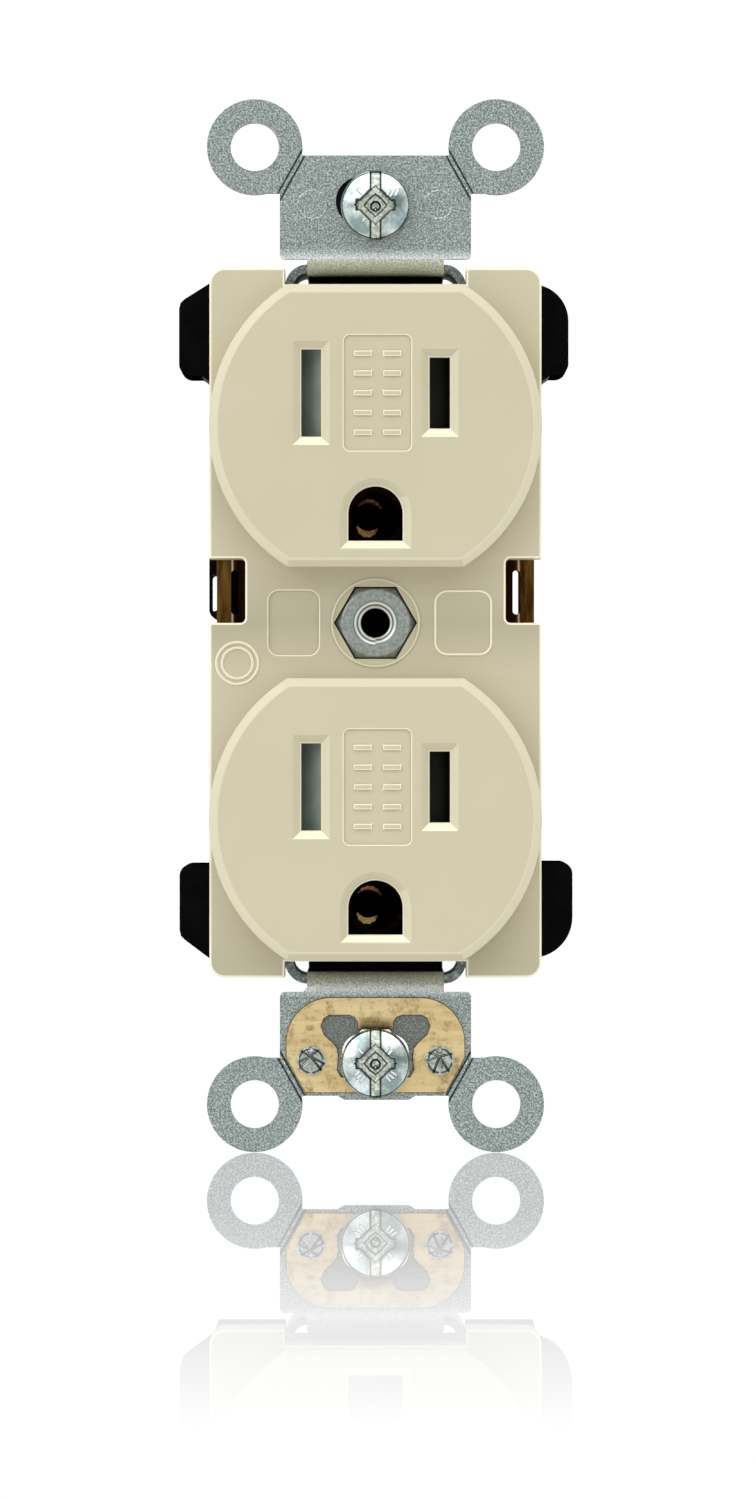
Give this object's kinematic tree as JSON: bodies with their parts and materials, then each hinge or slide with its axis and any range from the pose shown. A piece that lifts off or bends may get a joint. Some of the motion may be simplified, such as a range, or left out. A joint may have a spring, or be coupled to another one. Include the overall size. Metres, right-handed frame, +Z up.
{
  "type": "duplex wall outlet",
  "caption": "Duplex wall outlet with ivory face cover, black rear body, wrap-around steel strap with ears, self-grounding clip and side wire terminals.",
  "frame": {"origin": "On the axis of the cover-plate screw hole, in the rear plane of the strap's ears, which seats on the wall", "axes": "-Y is the front, the way the cover-plate screw leaves; +Z is up along the strap; +X is right seen from the front"},
  "size_m": [0.0393, 0.0336, 0.1045],
  "materials": {
    "ivory_nylon": "smooth moulded, softly glossy",
    "black_thermoplastic": "moulded",
    "galvanised_steel": "galvanised, faintly mottled",
    "zinc_steel": "bright zinc",
    "clip_brass": "rolled, slightly dull",
    "contact_brass": "rolled",
    "green_steel": "green dyed zinc",
    "black_fibre": "pressed fibre",
    "tray_plastic": "moulded",
    "shutter_plastic": "moulded",
    "spring_steel": "drawn wire"
  },
  "bodies": {
    "frame": {"face_cover": "ivory_nylon", "rear_body": "black_thermoplastic", "mounting_strap": "galvanised_steel", "centre_post": "zinc_steel", "grounding_clip": "clip_brass", "clip_rivets": "zinc_steel", "hot_contact": "contact_brass", "neutral_contact": "contact_brass", "upper_ground_contact": "contact_brass", "lower_ground_contact": "contact_brass", "ground_contact_rivets": "zinc_steel", "upper_shutter_tray": "tray_plastic", "lower_shutter_tray": "tray_plastic", "upper_shutter_spring": "spring_steel", "lower_shutter_spring": "spring_steel"},
    "upper_shutter_body": {"upper_shutter": "shutter_plastic"},
    "lower_shutter_body": {"lower_shutter": "shutter_plastic"},
    "hot_upper_clamp_body": {"hot_upper_clamp": "contact_brass"},
    "hot_upper_screw_body": {"hot_upper_screw": "contact_brass"},
    "hot_lower_clamp_body": {"hot_lower_clamp": "contact_brass"},
    "hot_lower_screw_body": {"hot_lower_screw": "contact_brass"},
    "neutral_upper_clamp_body": {"neutral_upper_clamp": "zinc_steel"},
    "neutral_upper_screw_body": {"neutral_upper_screw": "zinc_steel"},
    "neutral_lower_clamp_body": {"neutral_lower_clamp": "zinc_steel"},
    "neutral_lower_screw_body": {"neutral_lower_screw": "zinc_steel"},
    "ground_clamp_body": {"ground_clamp": "zinc_steel"},
    "ground_screw_body": {"ground_screw": "green_steel"},
    "upper_retainer_body": {"upper_screw_retainer": "black_fibre"},
    "upper_box_screw_body": {"upper_box_screw": "zinc_steel"},
    "lower_retainer_body": {"lower_screw_retainer": "black_fibre"},
    "lower_box_screw_body": {"lower_box_screw": "zinc_steel"}
  },
  "joints": [
    {"name": "upper_shutter_slide", "type": "slide", "parent": "frame", "child": "upper_shutter_body", "axis": [1, 0, 0], "range_m": [0, 0.0024], "stiffness_N_per_m": 250, "springref_m": -0.003, "deforming": ["upper_shutter_spring"]},
    {"name": "lower_shutter_slide", "type": "slide", "parent": "frame", "child": "lower_shutter_body", "axis": [1, 0, 0], "range_m": [0, 0.0024], "stiffness_N_per_m": 250, "springref_m": -0.003, "deforming": ["lower_shutter_spring"]},
    {"name": "hot_upper_clamp_slide", "type": "slide", "parent": "frame", "child": "hot_upper_clamp_body", "axis": [1, 0, 0], "range_m": [0, 0.00238]},
    {"name": "hot_upper_screw_turn", "type": "hinge", "parent": "hot_upper_clamp_body", "child": "hot_upper_screw_body", "pos_m": [0.0125, 0.0115, 0.015], "axis": [1, 0, 0], "range_deg": [0, 1080]},
    {"name": "hot_lower_clamp_slide", "type": "slide", "parent": "frame", "child": "hot_lower_clamp_body", "axis": [1, 0, 0], "range_m": [0, 0.00238]},
    {"name": "hot_lower_screw_turn", "type": "hinge", "parent": "hot_lower_clamp_body", "child": "hot_lower_screw_body", "pos_m": [0.0125, 0.0115, -0.0105], "axis": [1, 0, 0], "range_deg": [0, 1080]},
    {"name": "neutral_upper_clamp_slide", "type": "slide", "parent": "frame", "child": "neutral_upper_clamp_body", "axis": [-1, 0, 0], "range_m": [0, 0.00238]},
    {"name": "neutral_upper_screw_turn", "type": "hinge", "parent": "neutral_upper_clamp_body", "child": "neutral_upper_screw_body", "pos_m": [-0.0125, 0.0115, 0.015], "axis": [-1, 0, 0], "range_deg": [0, 1080]},
    {"name": "neutral_lower_clamp_slide", "type": "slide", "parent": "frame", "child": "neutral_lower_clamp_body", "axis": [-1, 0, 0], "range_m": [0, 0.00238]},
    {"name": "neutral_lower_screw_turn", "type": "hinge", "parent": "neutral_lower_clamp_body", "child": "neutral_lower_screw_body", "pos_m": [-0.0125, 0.0115, -0.0105], "axis": [-1, 0, 0], "range_deg": [0, 1080]},
    {"name": "ground_clamp_slide", "type": "slide", "parent": "frame", "child": "ground_clamp_body", "axis": [0, 1, 0], "range_m": [0, 0.00238]},
    {"name": "ground_screw_turn", "type": "hinge", "parent": "ground_clamp_body", "child": "ground_screw_body", "pos_m": [0, 0.023, -0.0115], "axis": [0, 1, 0], "range_deg": [0, 1080]},
    {"name": "upper_screw_float", "type": "slide", "parent": "frame", "child": "upper_retainer_body", "axis": [1, 0, 0], "range_m": [-0.0015, 0.0015]},
    {"name": "upper_box_screw_turn", "type": "hinge", "parent": "upper_retainer_body", "child": "upper_box_screw_body", "pos_m": [0, 0.012, 0.04142], "axis": [0, -1, 0], "continuous": true},
    {"name": "lower_screw_float", "type": "slide", "parent": "frame", "child": "lower_retainer_body", "axis": [0, 0, 1], "range_m": [0, 0.00175]},
    {"name": "lower_box_screw_turn", "type": "hinge", "parent": "lower_retainer_body", "child": "lower_box_screw_body", "pos_m": [0, 0.012, -0.04367], "axis": [0, -1, 0], "continuous": true}
  ],
  "couplings": [
    {"joint": "hot_upper_screw_turn", "follows": "hot_upper_clamp_slide", "rad_per_m": 7915.8},
    {"joint": "hot_lower_screw_turn", "follows": "hot_lower_clamp_slide", "rad_per_m": 7915.8},
    {"joint": "neutral_upper_screw_turn", "follows": "neutral_upper_clamp_slide", "rad_per_m": 7915.8},
    {"joint": "neutral_lower_screw_turn", "follows": "neutral_lower_clamp_slide", "rad_per_m": 7915.8},
    {"joint": "ground_screw_turn", "follows": "ground_clamp_slide", "rad_per_m": 7915.8}
  ]
}
